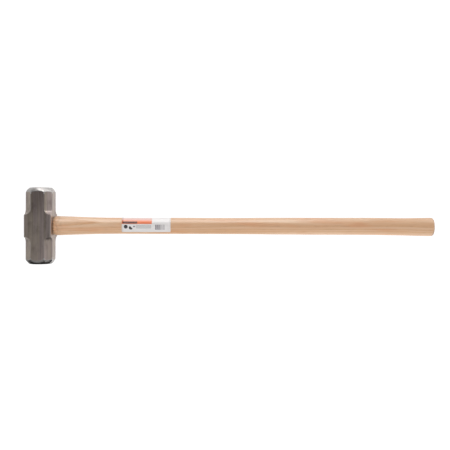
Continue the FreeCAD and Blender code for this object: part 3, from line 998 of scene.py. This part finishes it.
def label_material(sizes, length, width):
    """Printed paper: a band with a plain bar, a dot, a leaf, grey rules and upright stripes, no lettering.
    The band's upper part fades towards the paper's white, a painted highlight of glare.
    """
    material, tree, shader = new_material("label_paper")
    unwrapped = tree.nodes.new("ShaderNodeUVMap")
    unwrapped.uv_map = "print"
    sheet = (length / MM, width / MM, 0)
    spread = add(tree, "VectorMath", {0: unwrapped.outputs[0], 1: sheet}, operation="MULTIPLY")
    parts = split(tree, spread)
    along = parts["X"]
    up = parts["Y"]

    def block(left, right, low, high):
        wide = maths(tree, "COMPARE", along, (left + right) / 2, (right - left) / 2)
        tall = maths(tree, "COMPARE", up, (low + high) / 2, (high - low) / 2)
        return times(tree, wide, tall)

    def disc(along_to, up_to, radius):
        return maths(tree, "LESS_THAN", distance_from(tree, spread, (along_to, up_to, 0)), radius)

    def bars(value, per_millimetre, part):
        return maths(tree, "LESS_THAN", maths(tree, "FRACT", times(tree, value, per_millimetre)), part)

    faded = cloud(tree, spread, 0.5, detail=2)
    leaf = times(tree, disc(20, 11, 4.2), maths(tree, "LESS_THAN", maths(tree, "ADD", along, up), 33))
    lines = bars(up, 0.5, 0.34)
    upright = bars(along, 0.23, 0.58)
    fade = steps(tree, times(tree, along, 0.01), ((0.83, 1), (0.86, 0.5)))
    # Painted highlight: the band's upper part washes out towards the paper's white, as under glare.
    painted_glare = rest_of(tree, times(tree, smooth_step(tree, up, 25, 32), 0.6))
    layers = (
        (times(tree, block(0, 66, 19.4, 36), painted_glare), sizes.band),
        (block(1.5, 34, 20.3, 25.3), sizes.bar),
        (disc(9, 13.3, 4.2), sizes.ink),
        (leaf, sizes.ink),
        (block(25.8, 28.4, 12.2, 15.4), sizes.stripes),
        (times(tree, block(30.7, 64.7, 9.4, 17), lines), sizes.rules),
        (times(tree, times(tree, block(72, 95.5, 6.5, 17.9), upright), fade), sizes.stripes),
    )
    colour = tuple(sizes.paper)
    for printed, ink in layers:
        colour = blend_colours(tree, printed, colour, ink)
    dress(tree, shader, colour, steps(tree, faded, ((0.3, 0.3), (0.7, 0.4))))
    varnish(shader, 1, 0.2, LACQUER_INDEX)
    return material


def label_sheet(sizes, length, width):
    """A flat sheet with round corners, cut into strips so that it can bend, with its own UV map."""
    bm = bmesh.new()
    bmesh.ops.create_grid(bm, x_segments=1, y_segments=1, size=0.5)
    bmesh.ops.scale(bm, vec=(length, width, 1), verts=bm.verts)
    bmesh.ops.bevel(
        bm, geom=bm.verts[:], offset=sizes.corner, segments=6, profile=0.5, affect="VERTICES", material=-1
    )
    for axis, count in enumerate(LABEL_STRIPS):
        span = (length, width)[axis]
        normal = Vector((1, 0, 0)) if axis == 0 else Vector((0, 1, 0))
        for step in range(1, count):
            place = normal * span * (step / count - 0.5)
            bmesh.ops.bisect_plane(
                bm, geom=bm.verts[:] + bm.edges[:] + bm.faces[:], dist=1e-7, plane_co=place, plane_no=normal
            )
    layer = bm.loops.layers.uv.new("print")
    for face in bm.faces:
        for loop in face.loops:
            loop[layer].uv = (loop.vert.co.x / length + 0.5, loop.vert.co.y / width + 0.5)
    return bm


def wrap_sheet(bm, sizes, width, shaft, oval):
    """Bend the flat sheet around the oval shaft, its first edge towards the lower striking face."""
    major = shaft / 2 + sizes.lift
    minor = shaft * oval / 2 + sizes.lift
    half_turn = sizes.turn + math.pi / 2
    first = math.atan2(math.sin(half_turn) / minor, math.cos(half_turn) / major)
    middle = (LABEL_LOW.x + LABEL_HIGH.x) / 2
    for vert in bm.verts:
        angle = first - math.pi * (vert.co.y / width + 0.5)
        crease = 0.06 * MM * noise.noise(Vector((vert.co.x * 90, angle * 2.5, 0)))
        vert.co = Vector((
            middle + vert.co.x,
            (major + crease) * math.cos(angle),
            AXIS_HEIGHT + (minor + crease) * math.sin(angle),
        ))


class SLEDGE_OT_label(bpy.types.Operator):
    """Print the paper label and stick it round the handle"""

    bl_idname = "sledgehammer.label"
    bl_label = "Label"

    def execute(self, context):
        """Build the label."""
        sizes = context.scene.sledge_label
        wood = context.scene.sledge_handle
        length = LABEL_HIGH.x - LABEL_LOW.x
        # The print is laid out on half a round shaft, and wrap_sheet presses it onto the oval one.
        width = math.pi * wood.shaft / 2
        bm = label_sheet(sizes, length, width)
        wrap_sheet(bm, sizes, width, wood.shaft, wood.oval)
        piece = finish_mesh("paper_label", bm, (label_material(sizes, length, width),))
        modifier = piece.modifiers.new("Paper", "SOLIDIFY")
        modifier.thickness = sizes.thickness
        modifier.offset = -1
        apply_modifiers(piece)
        settle(piece, "label")
        return {"FINISHED"}


# Stage


class SLEDGE_PG_stage(bpy.types.PropertyGroup):
    """Camera, floor and light."""

    distance: metres("Camera distance", 1.5566, "From the handle's axis")
    lens: FloatProperty(name="Lens", description="Focal length in millimetres", default=56.34)
    centre: metres("View centre", 0.4072, "Where along the handle it looks")
    offset: millimetres("View offset", 2.3, "Middle of the view, towards the upper striking face")
    stand: millimetres("Camera stand", 40, "How far the camera stands towards the upper striking face")
    roll: turning("Roll", 0.0025, "Turn of the camera about its view")
    floor: tint("Floor", (0.8, 0.8, 0.8), "Plain pale floor")
    key: power("Key light", 12, "Large soft light beyond the upper striking face")
    corner: power("Corner light", 4, "Soft light beyond the grip's upper side")
    fill: power("Fill light", 20, "Large soft light overhead")
    side: power("Side light", 12.5, "Soft light beyond the lower striking face")


KEY_PLACE = Vector((0.17, 1.4, 0.72))
KEY_AIM = Vector((0.17, 0, 0.42))
KEY_SIZE = (1.2, 1.4)
CORNER_PLACE = Vector((1.6, 1.25, 0.4))
CORNER_AIM = Vector((0.1, 0, 0.05))
CORNER_SIZE = (0.8, 0.8)
FILL_PLACE = Vector((0.4, 0, 2.2))
FILL_AIM = Vector((0.4, 0, 0))
FILL_SIZE = (2.5, 2.5)
SIDE_PLACE = Vector((0.45, -1.3, 0.35))
SIDE_AIM = Vector((0.45, 0, 0))
SIDE_SIZE = (1.8, 0.7)
# Brightness of the room over an arc from beyond the upper striking face (0) past overhead (0.5)
# to beyond the lower one (1).
ROOM_ARC = (
    (0, 0.34), (0.2, 0.36), (0.25, 0.1), (0.46, 0.13), (0.492, 0.22),
    (0.508, 0.335), (0.525, 0.42), (0.56, 0.45), (0.8, 0.38), (0.88, 0.1), (0.94, 0.01),
)
ROOM_SIDES = 0.58
ROOM_BEYOND_GRIP = 0.4
# Where the floor starts and ends to send less light back, in metres below, beside and behind the head.
DIM_BELOW = (0.09, 0.14)
DIM_BESIDE = (-0.6, -0.45)
DIM_BEHIND = (0.03, 0.1)
WHITE = (1, 1, 1)
BLACK = (0, 0, 0)


def build_camera(sizes):
    """Look straight down from beside the head's middle, with the picture shifted back to centre it."""
    camera = bpy.data.cameras.new("camera")
    camera.lens = sizes.lens
    camera.sensor_width = 36
    camera.clip_start = 0.05
    camera.clip_end = 50
    holder = bpy.data.objects.new("camera", camera)
    camera.shift_y = (sizes.offset - sizes.stand) / (sizes.distance * camera.sensor_width / camera.lens)
    holder.location = (sizes.centre, sizes.stand, AXIS_HEIGHT + sizes.distance)
    holder.rotation_euler = (0, 0, sizes.roll)
    bpy.context.scene.collection.objects.link(holder)
    bpy.context.scene.camera = holder


def floor_material(sizes):
    """Plain white table. What it sends back fades out beyond the lower face and dims behind the eye."""
    material, tree, shader = new_material("studio_floor")
    parts = split(tree, object_place(tree))
    backwards = times(tree, parts["X"], -1)
    below = smooth_step(tree, times(tree, parts["Y"], -1), *DIM_BELOW)
    beside = smooth_step(tree, backwards, *DIM_BESIDE)
    near = rest_of(tree, times(tree, below, beside))
    behind = smooth_step(tree, backwards, *DIM_BEHIND)
    near = times(tree, near, maths(tree, "MULTIPLY_ADD", behind, -0.32, 1))
    seen = tree.nodes.new("ShaderNodeLightPath").outputs["Is Camera Ray"]
    sent_back = blend_colours(tree, near, grey(0.02), sizes.floor)
    tree.links.new(blend_colours(tree, seen, sent_back, grey(0.25)), shader.inputs["Base Color"])
    glow = blend_colours(tree, near, BLACK, grey(0.3))
    tree.links.new(blend_colours(tree, seen, glow, WHITE), shader.inputs["Emission Color"])
    shader.inputs["Emission Strength"].default_value = 0.92
    shader.inputs["Roughness"].default_value = 1
    shader.inputs["Specular IOR Level"].default_value = 0
    return material


def build_floor(sizes):
    """Lay the floor under the head's resting edge and the butt, which the tool really rests on."""
    bm = bmesh.new()
    bmesh.ops.create_grid(bm, x_segments=8, y_segments=8, size=12)
    tilt = math.atan2(HANDLE_LOW.z, BUTT_END - HALF_WIDTH)
    pivot = Vector((HALF_WIDTH, 0, 0))
    turn = Matrix.Translation(pivot) @ Matrix.Rotation(-tilt, 4, "Y") @ Matrix.Translation(-pivot)
    bmesh.ops.transform(bm, matrix=turn, verts=bm.verts)
    bmesh.ops.translate(bm, vec=(0, 0, -MM / 10), verts=bm.verts)
    floor = finish_mesh("studio_floor", bm, (floor_material(sizes),))


def build_lamp(name, size, power, place, aim):
    """One large soft light that the camera doesn't see."""
    light = bpy.data.lights.new(name, "AREA")
    light.shape = "RECTANGLE"
    light.size, light.size_y = size
    light.energy = power
    lamp = bpy.data.objects.new(name, light)
    lamp.location = place
    lamp.rotation_euler = (aim - place).to_track_quat("-Z", "Y").to_euler()
    lamp.visible_camera = False
    bpy.context.scene.collection.objects.link(lamp)
    return lamp


def build_lights(sizes):
    """Soft boxes beyond both striking faces and the grip's upper side, a fill overhead, and the room."""
    build_lamp("key_light", KEY_SIZE, sizes.key, KEY_PLACE, KEY_AIM)
    build_lamp("corner_light", CORNER_SIZE, sizes.corner, CORNER_PLACE, CORNER_AIM)
    fill = build_lamp("fill_light", FILL_SIZE, sizes.fill, FILL_PLACE, FILL_AIM)
    side = build_lamp("side_light", SIDE_SIZE, sizes.side, SIDE_PLACE, SIDE_AIM)
    for lamp in (fill, side):
        lamp.visible_glossy = False
    build_room()


def build_room():
    """A plain room, black low down beyond the lower striking face, except past the grip."""
    world = bpy.data.worlds.new("room")
    bpy.context.scene.world = world
    world.use_nodes = True
    tree = world.node_tree
    tree.nodes.clear()
    direction = tree.nodes.new("ShaderNodeTexCoord").outputs["Generated"]
    parts = split(tree, direction)
    height = maths(tree, "ABSOLUTE", parts["Z"])
    arc = maths(tree, "DIVIDE", maths(tree, "ARCTAN2", height, parts["Y"]), math.pi)
    sides = smooth_step(tree, maths(tree, "ABSOLUTE", parts["X"]), 0.6, 0.95)
    beyond = smooth_step(tree, parts["X"], 0.45, 0.75)
    lower = times(tree, beyond, smooth_step(tree, arc, 0.8, 0.88))
    level = blend_colours(tree, lower, steps(tree, arc, ROOM_ARC), grey(ROOM_BEYOND_GRIP))
    level = blend_colours(tree, sides, level, grey(ROOM_SIDES))
    seen = tree.nodes.new("ShaderNodeLightPath").outputs["Is Camera Ray"]
    shader = tree.nodes.new("ShaderNodeBackground")
    tree.links.new(blend_colours(tree, seen, level, WHITE), shader.inputs["Color"])
    shader.inputs["Strength"].default_value = 1.0
    output = tree.nodes.new("ShaderNodeOutputWorld")
    tree.links.new(shader.outputs[0], output.inputs["Surface"])


class SLEDGE_OT_stage(bpy.types.Operator):
    """Set up the floor, the light and the camera"""

    bl_idname = "sledgehammer.stage"
    bl_label = "Stage"

    def execute(self, context):
        """Build the stage."""
        sizes = context.scene.sledge_stage
        context.scene.view_settings.view_transform = "Standard"
        build_camera(sizes)
        build_floor(sizes)
        build_lights(sizes)
        return {"FINISHED"}


class SLEDGE_PT_panel(bpy.types.Panel):
    """Builds the sledgehammer's pieces"""

    bl_idname = "SLEDGE_PT_panel"
    bl_label = "Sledgehammer"
    bl_space_type = "VIEW_3D"
    bl_region_type = "UI"
    bl_category = "Sledgehammer"

    def draw(self, context):
        """List the pieces and the stage."""
        for operator in OPERATORS:
            self.layout.operator(operator.bl_idname)


OPERATORS = (
    SLEDGE_OT_stage, SLEDGE_OT_head, SLEDGE_OT_handle,
    SLEDGE_OT_wood_wedge, SLEDGE_OT_steel_wedges, SLEDGE_OT_label,
)
GROUPS = {
    "sledge_head": SLEDGE_PG_head,
    "sledge_handle": SLEDGE_PG_handle,
    "sledge_wedges": SLEDGE_PG_wedges,
    "sledge_label": SLEDGE_PG_label,
    "sledge_stage": SLEDGE_PG_stage,
}


def register():
    """Register the add-on's classes and settings."""
    for group in GROUPS.values():
        bpy.utils.register_class(group)
    for name, group in GROUPS.items():
        setattr(bpy.types.Scene, name, PointerProperty(type=group))
    for operator in OPERATORS:
        bpy.utils.register_class(operator)
    bpy.utils.register_class(SLEDGE_PT_panel)


def unregister():
    """Remove the add-on's classes and settings."""
    bpy.utils.unregister_class(SLEDGE_PT_panel)
    for operator in reversed(OPERATORS):
        bpy.utils.unregister_class(operator)
    for name, group in GROUPS.items():
        delattr(bpy.types.Scene, name)
        bpy.utils.unregister_class(group)


def main():
    """Build every piece in order."""
    register()
    bpy.ops.sledgehammer.stage()
    bpy.ops.sledgehammer.head()
    bpy.ops.sledgehammer.handle()
    bpy.ops.sledgehammer.wood_wedge()
    bpy.ops.sledgehammer.steel_wedges()
    bpy.ops.sledgehammer.label()


if __name__ == "__main__":
    main()
